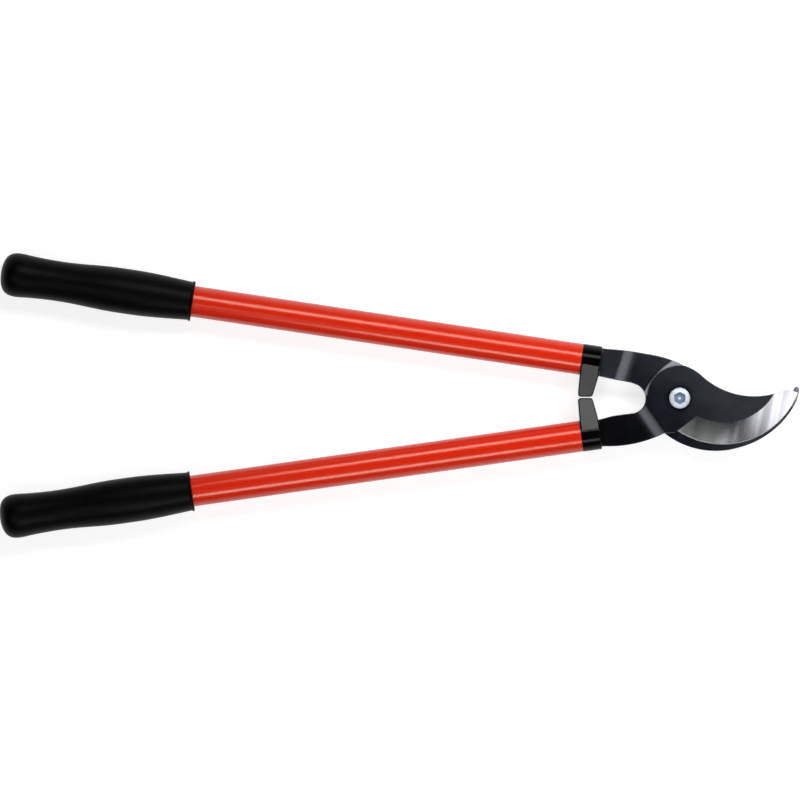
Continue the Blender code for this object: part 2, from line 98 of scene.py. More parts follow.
def linear(hex_colour):
    """An sRGB hex colour as the linear values that a shader takes."""
    values = [int(hex_colour[i : i + 2], 16) / 255 for i in (0, 2, 4)]
    return tuple(v / 12.92 if v <= 0.04045 else ((v + 0.055) / 1.055) ** 2.4 for v in values) + (1.0,)


def feed(node, inputs):
    """Sets sockets of a node, each by name or number, to a value or to the socket that feeds it."""
    for key, value in inputs.items():
        named = [s for s in node.inputs if s.enabled and s.name == key]
        socket = named[0] if named else node.inputs[key]
        if isinstance(value, bpy.types.NodeSocket):
            node.id_data.links.new(value, socket)
        else:
            socket.default_value = value


def add(tree, kind, inputs, out=None, **settings):
    """Adds a node with its settings and inputs, and returns the socket that comes out of it."""
    made = tree.nodes.new(kind)
    for name, value in settings.items():
        setattr(made, name, value)
    feed(made, inputs)
    if out:
        return made.outputs[out]
    return next((s for s in made.outputs if s.enabled), None)


def new_finish(name):
    """A new material, with its tree, its shader and the place on the piece that its patterns read."""
    made = bpy.data.materials.new(name)
    made.use_nodes = True
    tree = made.node_tree
    return made, tree, tree.nodes["Principled BSDF"], add(tree, "ShaderNodeTexCoord", {}, "Object")


def blackened_steel(name, dark, light, oiled_and_shaded, dry, rubbed=((1, 0, 0), 85.0, 92.0, "84868A")):
    """Oil-blackened steel: a nearly black coat with a bluish sheen, wet with oil round the bolt and on the
    tangs' side, and drier, so more satin and paler, towards the cutting end. The two numbers are its
    roughness where wet with oil and where dry. From one station to another along a direction it is painted
    paler grey: at the tips rubbed wear and partly a painted highlight, on the hook's bend a painted
    highlight. Its grain is drawn coarser than it is, so that it shows."""
    made, tree, shader, place = new_finish(name)
    mottle = add(tree, "ShaderNodeTexNoise", {"Vector": place, "Scale": 1 / (9 * MM), "Detail": 5.0})
    grain = add(tree, "ShaderNodeTexNoise", {"Vector": place, "Scale": 1 / (0.7 * MM), "Detail": 2.0})
    tone = add(tree, "ShaderNodeMapRange", {"Value": mottle, "From Min": 0.35, "From Max": 0.65})
    tints = {"Factor": tone, "A": linear(dark), "B": linear(light)}
    film_and_shade = add(tree, "ShaderNodeMix", tints, data_type="RGBA")
    # Paler grey between two stations: rubbed wear at the tips, partly a painted highlight there, and a
    # painted highlight on the hook's bend.
    direction, start, end, bare = rubbed
    station = add(tree, "ShaderNodeVectorMath", {0: place, 1: direction}, operation="DOT_PRODUCT")
    span = {"Value": station, "From Min": start * MM, "From Max": end * MM}
    wear_and_highlight = add(tree, "ShaderNodeMapRange", span, interpolation_type="SMOOTHSTEP")
    colour = add(tree, "ShaderNodeMix", {"Factor": wear_and_highlight, "A": film_and_shade, "B": linear(bare)}, data_type="RGBA")
    towards = add(tree, "ShaderNodeVectorMath", {0: place, 1: TOWARDS_CUT}, operation="DOT_PRODUCT")
    drying = {"Value": towards, "From Min": -18 * MM, "From Max": 22 * MM, "To Min": oiled_and_shaded, "To Max": dry}
    dryness = add(tree, "ShaderNodeMapRange", drying)
    flat = add(tree, "ShaderNodeVectorMath", {0: place, 1: (1, 1, 0)}, operation="MULTIPLY")
    radius = add(tree, "ShaderNodeVectorMath", {0: flat}, operation="LENGTH")
    near_bolt = {"Value": radius, "From Min": 8.5 * MM, "From Max": 12 * MM, "To Min": 0.7}
    seeping = add(tree, "ShaderNodeMapRange", near_bolt)
    blotch = {"Value": mottle, "From Min": 0.3, "From Max": 0.7, "To Min": 0.93, "To Max": 1.07}
    patches = add(tree, "ShaderNodeMapRange", blotch)
    uneven = add(tree, "ShaderNodeMath", {0: seeping, 1: patches}, operation="MULTIPLY")
    sheen = add(tree, "ShaderNodeMath", {0: dryness, 1: uneven}, operation="MULTIPLY")
    relief = add(tree, "ShaderNodeBump", {"Height": grain, "Strength": 0.2, "Distance": 0.02 * MM})
    feed(shader, {"IOR": 1.55, "Specular Tint": linear("EAF4FF"), "Base Color": colour})
    feed(shader, {"Roughness": sheen, "Normal": relief})
    return made


def milled(name, light, dark, pitch):
    """Milled steel: bright metal that catches the light along the cutter's turned lines round the bolt, a
    pitch apart, which is drawn coarser than it is. Towards the tangs it is a little rougher, so duller."""
    made, tree, shader, place = new_finish(name)
    flat = add(tree, "ShaderNodeVectorMath", {0: place, 1: (1, 1, 0)}, operation="MULTIPLY")
    radius = add(tree, "ShaderNodeVectorMath", {0: flat}, operation="LENGTH")
    lines = add(tree, "ShaderNodeTexNoise", {"W": radius, "Scale": 1 / (pitch * MM)}, noise_dimensions="1D")
    tints = {"Factor": lines, "A": linear(dark), "B": linear(light)}
    colour = add(tree, "ShaderNodeMix", tints, data_type="RGBA")
    towards = add(tree, "ShaderNodeVectorMath", {0: place, 1: TOWARDS_CUT}, operation="DOT_PRODUCT")
    smoothing = {"Value": towards, "From Min": -4 * MM, "From Max": 15 * MM, "To Min": 0.66, "To Max": 0.58}
    sheen = add(tree, "ShaderNodeMapRange", smoothing)
    relief = add(tree, "ShaderNodeBump", {"Height": lines, "Strength": 0.3, "Distance": 0.01 * MM})
    feed(shader, {"Metallic": 1.0, "Base Color": colour, "Roughness": sheen, "Normal": relief})
    return made


def arc(circle, start, end, clockwise=False, spacing=0.8):
    """Points on a circle between the bearings of two points, both included, about a spacing apart."""
    (cx, cy), radius = circle
    first = math.atan2(start[1] - cy, start[0] - cx)
    last = math.atan2(end[1] - cy, end[0] - cx)
    if clockwise and last > first:
        last -= math.tau
    if not clockwise and last < first:
        last += math.tau
    steps = max(2, round(abs(last - first) * radius / spacing))
    turns = [first + (last - first) * i / steps for i in range(steps + 1)]
    return [(cx + radius * math.cos(a), cy + radius * math.sin(a)) for a in turns]


def circle_through(p, q, r):
    """Centre and radius of the circle through three points."""
    ax, ay, bx, by = q[0] - p[0], q[1] - p[1], r[0] - p[0], r[1] - p[1]
    a2, b2, cross = ax * ax + ay * ay, bx * bx + by * by, 2 * (ax * by - ay * bx)
    ux, uy = (by * a2 - ay * b2) / cross, (ax * b2 - bx * a2) / cross
    return (p[0] + ux, p[1] + uy), math.hypot(ux, uy)


def on_bearing(radius, degrees):
    return radius * math.cos(math.radians(degrees)), radius * math.sin(math.radians(degrees))


def handle_place(side, tilt):
    """Matrix of a handle's own frame, in metres: X along the handle's axis towards the grip, Z up."""
    lean = math.radians(tilt)
    foot = Vector((HANDLE_OFFSET * math.sin(lean), side * HANDLE_OFFSET * math.cos(lean), MID_PLANE))
    return Matrix.Translation(foot * MM) @ Matrix.Rotation(math.pi - side * lean, 4, "Z")


def handle_point(side, tilt, station, inward):
    """Place in the plane of the lopper: inward counts from the handle's axis towards the other handle."""
    at = handle_place(side, tilt) @ Vector((station * MM, side * inward * MM, 0)) / MM
    return at.x, at.y


def inset(outline, distance):
    """The outline moved inwards, each corner along its own bisector."""
    area = sum(a[0] * b[1] - b[0] * a[1] for a, b in zip(outline, outline[1:] + outline[:1]))
    corners = []
    for before, here, after in zip(outline[-1:] + outline[:-1], outline, outline[1:] + outline[:1]):
        into, out = Vector(here) - Vector(before), Vector(after) - Vector(here)
        left, right = Vector((-into.y, into.x)).normalized(), Vector((-out.y, out.x)).normalized()
        bisector = (left + right).normalized()
        step = math.copysign(distance, area) / max(bisector.dot(left), 0.4)
        corners.append(Vector(here) + bisector * step)
    return corners


def layered(outline, levels, edge_slot=0):
    """A closed shape of one outline at several levels, each (height, inset). Its walls take edge_slot."""
    shape = bmesh.new()
    rings = []
    for height, distance in levels:
        rings.append([shape.verts.new((x * MM, y * MM, height * MM)) for x, y in inset(outline, distance)])
    for low, high in zip(rings, rings[1:]):
        for i in range(len(low)):
            j = (i + 1) % len(low)
            shape.faces.new((low[i], low[j], high[j], high[i])).material_index = edge_slot
    shape.faces.new(rings[0])
    shape.faces.new(rings[-1])
    bmesh.ops.recalc_face_normals(shape, faces=shape.faces)
    return shape


def rounded(bottom, top, low_radius, high_radius, steps=4):
    """Levels of a plate whose lower and upper rims are rounded."""
    quarter = [math.pi / 2 * i / steps for i in range(steps + 1)]
    low = [(bottom + low_radius * (1 - math.cos(a)), low_radius * (1 - math.sin(a))) for a in quarter]
    high = [(top - high_radius * (1 - math.sin(a)), high_radius * (1 - math.cos(a))) for a in quarter]
    return low + high


def bend(shape, normal, stations, bottom, top, level):
    """Cuts a plate across at each station and moves its two faces to the heights that level gives there."""
    for station in stations:
        everything, on_plane = shape.verts[:] + shape.edges[:] + shape.faces[:], normal * station * MM
        bmesh.ops.bisect_plane(shape, geom=everything, dist=MERGE, plane_co=on_plane, plane_no=normal)
    for vert in shape.verts:
        share = (vert.co.z / MM - bottom) / (top - bottom)
        low, high = level(vert.co.dot(normal) / MM)
        vert.co.z = (low + (high - low) * share) * MM


def set_finish_beyond(shape, normal, station, slot):
    """Gives a plate's broad faces beyond a station another of its materials."""
    for face in shape.faces:
        if face.material_index != 1 and face.calc_center_median().dot(normal) > station * MM:
            face.material_index = slot


def smooth_step(u):
    u = min(max(u, 0.0), 1.0)
    return u * u * (3 - 2 * u)


def as_object(name, source, *finishes):
    """A mesh or a bmesh as an object of that name, with its materials in order."""
    if isinstance(source, bmesh.types.BMesh):
        shape, source = source, bpy.data.meshes.new(name)
        shape.to_mesh(source)
        shape.free()
    made = bpy.data.objects.new(name, source)
    bpy.context.scene.collection.objects.link(made)
    for finish in finishes:
        source.materials.append(finish)
    return made


def evaluated_mesh(obj):
    """The mesh that an object's modifiers make. The object itself is removed."""
    bpy.context.view_layer.update()
    mesh = bpy.data.meshes.new_from_object(obj.evaluated_get(bpy.context.evaluated_depsgraph_get()))
    bpy.data.objects.remove(obj, do_unlink=True)
    return mesh


def carved(base, *steps):
    """The mesh of base after each (cutter, operation) in turn. The cuts keep the cutters' own materials."""
    for cutter, operation in steps:
        cut = base.modifiers.new(cutter.name, "BOOLEAN")
        cut.object, cut.operation, cut.solver, cut.material_mode = cutter, operation, "EXACT", "TRANSFER"
    mesh = evaluated_mesh(base)
    for cutter, operation in steps:
        bpy.data.objects.remove(cutter, do_unlink=True)
    return mesh


def turned(profile, steps, closed=False):
    """A profile of (radius, height) turned about Z, its seam and its poles merged."""
    shape = bmesh.new()
    points = [shape.verts.new((radius * MM, 0, height * MM)) for radius, height in profile]
    pairs = list(zip(points, points[1:])) + ([(points[-1], points[0])] if closed else [])
    lines = [shape.edges.new(pair) for pair in pairs]
    about_z = {"cent": (0, 0, 0), "axis": (0, 0, 1), "dvec": (0, 0, 0), "angle": math.tau}
    bmesh.ops.spin(shape, geom=points + lines, steps=steps, **about_z)
    bmesh.ops.remove_doubles(shape, verts=shape.verts, dist=MERGE)
    bmesh.ops.recalc_face_normals(shape, faces=shape.faces)
    return shape


def rod(radius, bottom, top, steps=96):
    return turned([(0, top), (radius, top), (radius, bottom), (0, bottom)], steps)


def moved(shape, matrix):
    bmesh.ops.transform(shape, matrix=matrix, verts=shape.verts)
    return shape


def pin_place(place):
    """Matrix of a tang pin's own frame: Z across the handle, in the plane of the lopper."""
    return place @ Matrix.Translation((PIN_STATION * MM, 0, 0)) @ Matrix.Rotation(math.pi / 2, 4, "X")


def pin_hole(name, place, finish):
    """The cut for the pin that crosses a handle's tube, plug and tang."""
    drill = moved(rod(PIN_RADIUS + GAP, -PIN_CUT, PIN_CUT, 48), pin_place(place))
    return as_object(name, drill, finish), "DIFFERENCE"


def finished(name, mesh, body, node, crease=32):
    """Makes the finished piece, on its body and for its node, smooth but for its creases and borders."""
    shape = bmesh.new()
    shape.from_mesh(mesh)
    bmesh.ops.remove_doubles(shape, verts=shape.verts, dist=SPECK)
    bmesh.ops.dissolve_degenerate(shape, edges=shape.edges, dist=SPECK)
    for face in shape.faces:
        face.smooth = True
    for edge in shape.edges:
        sides = edge.link_faces
        if len(sides) == 2:
            border = sides[0].material_index != sides[1].material_index
            edge.smooth = not border and edge.calc_face_angle() < math.radians(crease)
    shape.to_mesh(mesh)
    shape.free()
    piece = as_object(name, mesh)
    even = piece.modifiers.new("Flat faces stay flat", "WEIGHTED_NORMAL")
    even.keep_sharp = True
    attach(piece, body)
    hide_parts(node)


def tongue(side, tilt, outer, inner):
    """Corners of the tongue in the tube, up to the jaw's outer and inner shoulder against the collar."""
    half, shoulder = TONGUE_WIDTH / 2, COLLAR_START - SHOULDER_GAP
    start = [(TONGUE_END, -half), (shoulder, -half), (shoulder, -outer)]
    end = [(shoulder, inner), (shoulder, half), (TONGUE_END, half)]
    return [[handle_point(side, tilt, *corner) for corner in corners] for corners in (start, end)]


def hook_outline():
    """Plan of the hook jaw: out along its tang and its boss, round the hook, and back by the crotch."""
    start, end = tongue(1, UPPER_TILT, HOOK_SHOULDER_HALF, HOOK_SHOULDER_HALF)
    points = start + arc(HOOK_TANG_OUTER, (-56.0, 38.0), (-26.5, 34.4), clockwise=True)
    points += arc(HOOK_TANG_SHOULDER, (-21.5, 33.4), (1.5, 26.2), clockwise=True)
    points += arc(HOOK_DISC, (4.2, 23.8), (20.8, -12.4), clockwise=True)
    points += arc(circle_through(*HOOK_THROAT), HOOK_THROAT[0], HOOK_THROAT[2])[:-1]
    points += arc(circle_through(*HOOK_INSIDE), HOOK_INSIDE[0], HOOK_INSIDE[2])
    points += HOOK_KNOB
    points += arc(HOOK_BACK_TIP, (90.4, -1.6), (47.2, -37.2), clockwise=True)
    points += arc(HOOK_BACK_HEEL, (44.5, -38.0), NOTCH, clockwise=True)
    points += arc(HOOK_DISC, on_bearing(24.2, 222), on_bearing(24.2, 195), clockwise=True)
    points += arc(CROTCH, (-26.5, -2.2), (-33.6, 10.5))
    return points + HOOK_TANG_INNER + end


def hook_level(station):
    """Heights of the hook jaw's two faces: its tang rises to the middle of the collar in one smooth set,
    gently at first and steepest two thirds of the way along."""
    _, at, half = HOOK_BEND
    way = min(max((station - at) / (2 * half) + 0.5, 0.0), 1.0)
    rise = smooth_step(way**1.5)
    low = HOOK_BOTTOM + (MID_PLANE - TANG_HALF - HOOK_BOTTOM) * rise
    return low, SHOULDER_TOP + (MID_PLANE + TANG_HALF - SHOULDER_TOP) * rise


normal, at, half = HOOK_BEND
# Painted highlight: the hook's bend is painted paler, up to grey, where its slope catches the light.
bend_highlight = (normal, at - half, at + half / 2, "4B4D52")
forged_black = blackened_steel("blackened ground steel", "070A11", "0B1018", 0.24, 0.415)
# The jaws' edges and rims are painted paler: rubbed wear, and partly a painted edge highlight.
worn_edge_highlight = blackened_steel("blackening rubbed thin, with a painted edge highlight", "2E3034", "424549", 0.34, 0.4)
tang_satin = blackened_steel("blackened tang, brushed satin", "0E1015", "14161B", 0.35, 0.35)
bend_painted_highlight = blackened_steel("blackening with a painted highlight on the bend", "0C0E12", "121419", 0.28, 0.28, rubbed=bend_highlight)
milled_steel = milled("milled seat", "C0C2C6", "9A9DA2", 0.5)

forging = layered(hook_outline(), rounded(HOOK_BOTTOM, SHOULDER_TOP, 0.5, 0.6), edge_slot=1)
stations = [at - half + 0.5 * i for i in range(int(4 * half) + 1)]
bend(forging, normal, stations, HOOK_BOTTOM, SHOULDER_TOP, hook_level)
set_finish_beyond(forging, normal, at - half, 3)
set_finish_beyond(forging, normal, at + half, 2)
seat = SEAT_OPEN_SIDES + arc(circle_through(*SEAT_WALL), SEAT_WALL[0], SEAT_WALL_END)
seat_walls = [(HOOK_FACE + SEAT_CORNER, 0.0), (MID_PLANE + 20, 0.0)]
milling = layered(seat, [(HOOK_FACE, SEAT_CORNER)] + seat_walls)
rubbing = layered(seat, [(HOOK_FACE - RUBBED_DEPTH, SEAT_CORNER)] + seat_walls)
(reach_x, reach_y), reach_radius = RUBBED_REACH
reach = moved(rod(reach_radius, 0, CUTTER_TOP), Matrix.Translation((reach_x * MM, reach_y * MM, 0)))
rubbed_seat = carved(
    as_object("rubbed seat", rubbing, milled_steel),
    (as_object("reach of the boss", reach, milled_steel), "INTERSECT"),
)
mesh = carved(
    as_object("hook forging", forging, forged_black, worn_edge_highlight, tang_satin, bend_painted_highlight),
    (as_object("seat milling", milling, forged_black), "DIFFERENCE"),
    (as_object("rubbed seat", rubbed_seat), "DIFFERENCE"),
    (as_object("hook bolt hole", rod(BOLT_HOLE, 0, CUTTER_TOP), milled_steel), "DIFFERENCE"),
    pin_hole("hook pin hole", handle_place(1, UPPER_TILT), milled_steel),
)
finished("hook_forging", mesh, "hook_side", "hook_jaw")

# Blade jaw: the front jaw, forged and blackened like the hook. Its curved edge is ground on a cone, with a
# narrow honed line along the very edge, and its tang is set down behind the boss to meet the lower collar.
BLADE_TOP = 23.2
BLADE_BACK = MID_PLANE + GAP / 2
BLADE_DISC = ((0, 0), 25.3)
BLADE_SHOULDER_OUTER = 10.2
BLADE_SHOULDER_INNER = 10.6
BLADE_TANG_OUTER = ((-54.6, 59.0), 96.2)
BLADE_TANG_INNER = [(-44.3, -12.6), (-51.5, -13.7)]
BLADE_HEEL = (-4.0, -26.7)
BLADE_EDGE = ((33.4, 26.3), 62.1)
BLADE_TIP = [(88.6, 5.0), (84.5, 6.5)]
BLADE_SPINE = ((57.6, 61.3), 59.8)
BLADE_NECK = ((-7.7, -10.7), 37.5)
BEVEL_ROOT = ((34.7, 24.8), 43.6)
BEVEL_WIDTH = 15.0
BEVEL_HEEL = ((-3.4, -26.4), (12.9, -14.1))
HEEL_BLOCK = 120.0
MARK_WIDTH = 0.9
STROKE_WIDTH = 7.0
STROKE_SHIFT = 167.0
EDGE_LAND = 0.3
HONED_WIDTH = 1.0
HONED_RISE = 1.3
BLADE_BEND = (Vector((-0.819, -0.574, 0)), 24.7)
TOP_SLOPES = ((0.0, 0.17), (5.0, 0.235), (13.0, 0.06), (25.0, 0.0))
BACK_DROP_START = 15.0
BACK_DROP_LENGTH = 13.0


def ground_steel():
    """The ground bevel: bare steel with the wheel's marks all in one direction, duller and brighter by the
    stroke, and painted evenly bright at the tip as a highlight. It is painted darker near the boss and
    along the root, as shade on the bevel. The marks are drawn several times coarser than a wheel's grit,
    so that they show."""
    made, tree, shader, place = new_finish("ground bevel")
    along = add(tree, "ShaderNodeVectorMath", {0: place, 1: (0.98, -0.2, 0)}, operation="DOT_PRODUCT")
    across = add(tree, "ShaderNodeMath", {0: along, 1: STROKE_SHIFT * MM}, operation="ADD")
    marks = {"W": across, "Scale": 1 / (MARK_WIDTH * MM), "Detail": 2.0}
    strokes = {"W": across, "Scale": 1 / (STROKE_WIDTH * MM), "Detail": 1.0}
    fine = add(tree, "ShaderNodeTexNoise", marks, noise_dimensions="1D")
    broad = add(tree, "ShaderNodeTexNoise", strokes, noise_dimensions="1D")
    both = add(tree, "ShaderNodeMath", {0: fine, 1: 0.4, 2: broad}, operation="MULTIPLY_ADD")
    streaks = add(tree, "ShaderNodeMapRange", {"Value": both, "From Min": 0.42, "From Max": 0.88})
    # Painted highlight: towards the tip the bevel is painted evenly at its brightest tone.
    tip = add(tree, "ShaderNodeMapRange", {"Value": along, "From Min": 75 * MM, "From Max": 83 * MM})
    tone = add(tree, "ShaderNodeMath", {0: streaks, 1: tip}, operation="MAXIMUM")
    tints = {"Factor": tone, "A": linear("808183"), "B": linear("B4B4BC")}
    ground = add(tree, "ShaderNodeMix", tints, data_type="RGBA")
    (root_x, root_y), root = BEVEL_ROOT
    flat = add(tree, "ShaderNodeVectorMath", {0: place, 1: (1, 1, 0)}, operation="MULTIPLY")
    centre = (root_x * MM, root_y * MM, 0)
    radius = add(tree, "ShaderNodeVectorMath", {0: flat, 1: centre}, operation="DISTANCE")
    width = {"Value": radius, "From Min": (root + 1) * MM, "From Max": (root + BEVEL_WIDTH) * MM}
    outwards = add(tree, "ShaderNodeMapRange", width)
    # Painted shade: the bevel is painted darker near the boss and along its root.
    shade_tints = {"Factor": outwards, "A": linear("464848"), "B": linear("6E7070")}
    film_and_shade = add(tree, "ShaderNodeMix", shade_tints, data_type="RGBA")
    station = add(tree, "ShaderNodeVectorMath", {0: place, 1: (1, -0.6, 0)}, operation="DOT_PRODUCT")
    shade_reach = add(tree, "ShaderNodeMath", {0: outwards, 1: 8 * MM, 2: station}, operation="MULTIPLY_ADD")
    span = {"Value": shade_reach, "From Min": 48 * MM, "From Max": 72 * MM}
    unshaded = add(tree, "ShaderNodeMapRange", span, interpolation_type="SMOOTHSTEP")
    oiled_and_shaded = {"Factor": unshaded, "A": film_and_shade, "B": ground}
    colour = add(tree, "ShaderNodeMix", oiled_and_shaded, data_type="RGBA")
    sheen = add(tree, "ShaderNodeMapRange", {"Value": tone, "To Min": 0.205, "To Max": 0.235})
    relief = add(tree, "ShaderNodeBump", {"Height": both, "Strength": 0.4, "Distance": 0.05 * MM})
    feed(shader, {"Metallic": 1.0, "Base Color": colour, "Roughness": sheen, "Normal": relief})
    return made


def honed_edge_painted_highlight():
    """The honed edge: bare steel fresh from a fine stone, with crossed scratches drawn coarser than they are,
    so that they show. Its near-white, half-diffuse colour is a painted highlight, a bright line along the
    edge."""
    made, tree, shader, place = new_finish("honed edge")
    scratches = add(tree, "ShaderNodeTexNoise", {"Vector": place, "Scale": 1 / (0.4 * MM), "Detail": 2.0})
    tints = {"Factor": scratches, "A": linear("C8CACE"), "B": linear("F0F1F3")}
    colour = add(tree, "ShaderNodeMix", tints, data_type="RGBA")
    sheen = add(tree, "ShaderNodeMapRange", {"Value": scratches, "To Min": 0.4, "To Max": 0.6})
    feed(shader, {"Metallic": 0.5, "Base Color": colour, "Roughness": sheen})
    return made


def blade_outline():
    """Plan of the blade jaw: out along its tang and its edge, back along the spine and by the crotch."""
    start, end = tongue(-1, LOWER_TILT, BLADE_SHOULDER_OUTER, BLADE_SHOULDER_INNER)
    points = start + arc(BLADE_TANG_OUTER, (-57.4, -37.2), (-12.0, -27.4))
    points += [NOTCH, BLADE_HEEL]
    points += arc(BLADE_EDGE, (3.0, -28.2), (91.8, 4.1))
    points += BLADE_TIP
    points += arc(BLADE_SPINE, (80.0, 5.9), (18.5, 16.0), clockwise=True)
    points += arc(BLADE_NECK, (16.0, 18.3), (5.0, 24.6))
    points += arc(BLADE_DISC, (3.5, 25.0), (-25.2, 2.2))
    points += arc(CROTCH, (-26.4, 1.7), (-37.3, -11.7), clockwise=True)
    return points + BLADE_TANG_INNER + end


def blade_level(station):
    """Heights of the blade jaw's two faces: the top falls just behind the boss, the back a little later."""
    past = station - BLADE_BEND[1]
    fallen = whole = 0.0
    for (start, slope), (end, next_slope) in zip(TOP_SLOPES, TOP_SLOPES[1:]):
        run = min(max(past - start, 0.0), end - start)
        fallen += run * (slope + (next_slope - slope) * run / (end - start) / 2)
        whole += (end - start) * (slope + next_slope) / 2
    drop = smooth_step((past - BACK_DROP_START) / BACK_DROP_LENGTH)
    low = BLADE_BACK + (MID_PLANE - TANG_HALF - BLADE_BACK) * drop
    return low, BLADE_TOP + (MID_PLANE + TANG_HALF - BLADE_TOP) * fallen / whole


def bevel_grinding():
    """What the grinding takes away: all above a leaning cone from the edge's circle to the root's."""
    (edge_x, edge_y), edge = BLADE_EDGE
    (root_x, root_y), root = BEVEL_ROOT
    foot = BLADE_BACK + EDGE_LAND
    honed = (edge - HONED_WIDTH, foot + HONED_RISE)
    slope = (BLADE_TOP - honed[1]) / (honed[0] - root)
    inner, outer, roof = root - 3.0, edge + 8.0, BLADE_TOP + 3.0
    beyond = foot - (outer - edge) * HONED_RISE / HONED_WIDTH
    over_root = (inner, BLADE_TOP + (root - inner) * slope)
    profile = [(outer, roof), (outer, beyond), honed, over_root, (inner, roof)]
    shape = turned(profile, 360, closed=True)
    for face in shape.faces:
        face.material_index = int(max(vert.co.z for vert in face.verts) < (honed[1] + 0.01) * MM)
    for vert in shape.verts:
        share = (vert.co.z / MM - foot) / (BLADE_TOP - foot)
        vert.co.x += (edge_x + (root_x - edge_x) * share) * MM
        vert.co.y += (edge_y + (root_y - edge_y) * share) * MM
    return shape


ground_bevel = ground_steel()
tang_black = blackened_steel("blackened tang, wet with oil", "020204", "040406", 0.19, 0.19)
forging = layered(blade_outline(), rounded(BLADE_BACK, BLADE_TOP, 0.15, 0.45), edge_slot=1)
normal, at = BLADE_BEND
drop_end = int(BACK_DROP_START + BACK_DROP_LENGTH)
bend(forging, normal, [at + i for i in range(drop_end + 1)], BLADE_BACK, BLADE_TOP, blade_level)
set_finish_beyond(forging, normal, at, 2)
heel_stop = bmesh.new()
bmesh.ops.create_cube(heel_stop, size=HEEL_BLOCK * MM)
(heel_x, heel_y), (toe_x, toe_y) = BEVEL_HEEL
heel_turn = math.atan2(toe_y - heel_y, toe_x - heel_x) - math.pi / 2
heel_place = Matrix.Translation((heel_x * MM, heel_y * MM, 0)) @ Matrix.Rotation(heel_turn, 4, "Z")
moved(heel_stop, heel_place @ Matrix.Translation((-HEEL_BLOCK / 2 * MM, 0, 0)))
grinding = carved(
    as_object("bevel grinding", bevel_grinding(), ground_bevel, honed_edge_painted_highlight()),
    (as_object("heel stop", heel_stop, ground_bevel), "DIFFERENCE"),
)
mesh = carved(
    as_object("blade forging", forging, forged_black, worn_edge_highlight, tang_black),
    (as_object("bevel grinding", grinding), "DIFFERENCE"),
    (as_object("blade bolt hole", rod(BOLT_HOLE, 0, CUTTER_TOP), milled_steel), "DIFFERENCE"),
    pin_hole("blade pin hole", handle_place(-1, LOWER_TILT), milled_steel),
)
finished("blade_forging", mesh, "blade_side", "blade_jaw")

# Pivot bolt: a socket screw with a low domed head and an M8 end below a ground 10 mm shank, bright zinc
# plated. The key's hexagon is broached to a flat floor, with the pilot drill's dimple in the middle.
HEAD_BOTTOM = BLADE_TOP + GAP
HEAD_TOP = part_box("pivot_bolt")[1][2] / MM
HEAD_RADIUS = 8.0
HEAD_RIM = 1.9
SHANK_RADIUS = 5.0
SHANK_END = 9.75
EDGE_BREAK = 0.3
THREAD_CORE = 3.35
THREAD_CREST = 3.8
THREAD_PITCH = 1.25
THREAD_START = 0.6
THREAD_CHAMFER = 0.5
SOCKET_FLATS = 8.4
SOCKET_DEPTH = 3.4
PILOT_RADIUS = 1.2
PILOT_DEPTH = 0.7


def zinc_plate(name, dark, light, metallic, roughness):
    """Zinc plate: a blue-white satin coat that scatters light, with faint passivation clouds. It is bright on
    open turned faces, and in the key socket it takes darker, greyer colours as painted shade for the
    recess. Its grain is drawn coarser than it is, so that it shows."""
    made, tree, shader, place = new_finish(name)
    cloud = add(tree, "ShaderNodeTexNoise", {"Vector": place, "Scale": 1 / (4 * MM), "Detail": 3.0})
    grain = add(tree, "ShaderNodeTexNoise", {"Vector": place, "Scale": 1 / (0.25 * MM), "Detail": 2.0})
    tints = {"Factor": cloud, "A": linear(dark), "B": linear(light)}
    colour = add(tree, "ShaderNodeMix", tints, data_type="RGBA")
    satin = {"Value": grain, "To Min": roughness - 0.07, "To Max": roughness + 0.07}
    sheen = add(tree, "ShaderNodeMapRange", satin)
    relief = add(tree, "ShaderNodeBump", {"Height": grain, "Strength": 0.2, "Distance": 0.01 * MM})
    feed(shader, {"Metallic": metallic, "Base Color": colour, "Roughness": sheen, "Normal": relief})
    return made


def hexagon(flats, bottom, top):
    """A hexagonal prism about Z, with a corner on the X axis."""
    shape = bmesh.new()
    corner = flats / math.sqrt(3) * MM
    bmesh.ops.create_cone(
        shape, cap_ends=True, segments=6, radius1=corner, radius2=corner, depth=(top - bottom) * MM
    )
    bmesh.ops.translate(shape, vec=(0, 0, (top + bottom) / 2 * MM), verts=shape.verts)
    return shape


def thread_tree():
    """Geometry Nodes for a rolled thread: a small ridge swept along a helix, from the thread's sizes."""
    tree = bpy.data.node_groups.new("rolled thread", "GeometryNodeTree")
    tree.interface.new_socket("Geometry", in_out="OUTPUT", socket_type="NodeSocketGeometry")
    for name in ("Core Radius", "Pitch", "Turns", "Ridge"):
        tree.interface.new_socket(name, in_out="INPUT", socket_type="NodeSocketFloat")
    tree.interface.new_socket("Finish", in_out="INPUT", socket_type="NodeSocketMaterial")
    sizes = add(tree, "NodeGroupInput", {}).node.outputs
    height = add(tree, "ShaderNodeMath", {0: sizes["Pitch"], 1: sizes["Turns"]}, operation="MULTIPLY")
    reach = {"Start Radius": sizes["Core Radius"], "End Radius": sizes["Core Radius"], "Height": height}
    helix = add(tree, "GeometryNodeCurveSpiral", {"Resolution": 48, "Rotations": sizes["Turns"], **reach})
    section = add(tree, "GeometryNodeCurvePrimitiveCircle", {"Resolution": 4, "Radius": sizes["Ridge"]})
    sweep = {"Curve": helix, "Profile Curve": section, "Fill Caps": True}
    ridge = add(tree, "GeometryNodeCurveToMesh", sweep)
    real = add(tree, "GeometryNodeRealizeInstances", {0: ridge})
    plated = add(tree, "GeometryNodeSetMaterial", {"Geometry": real, "Material": sizes["Finish"]})
    add(tree, "NodeGroupOutput", {0: plated})
    return tree


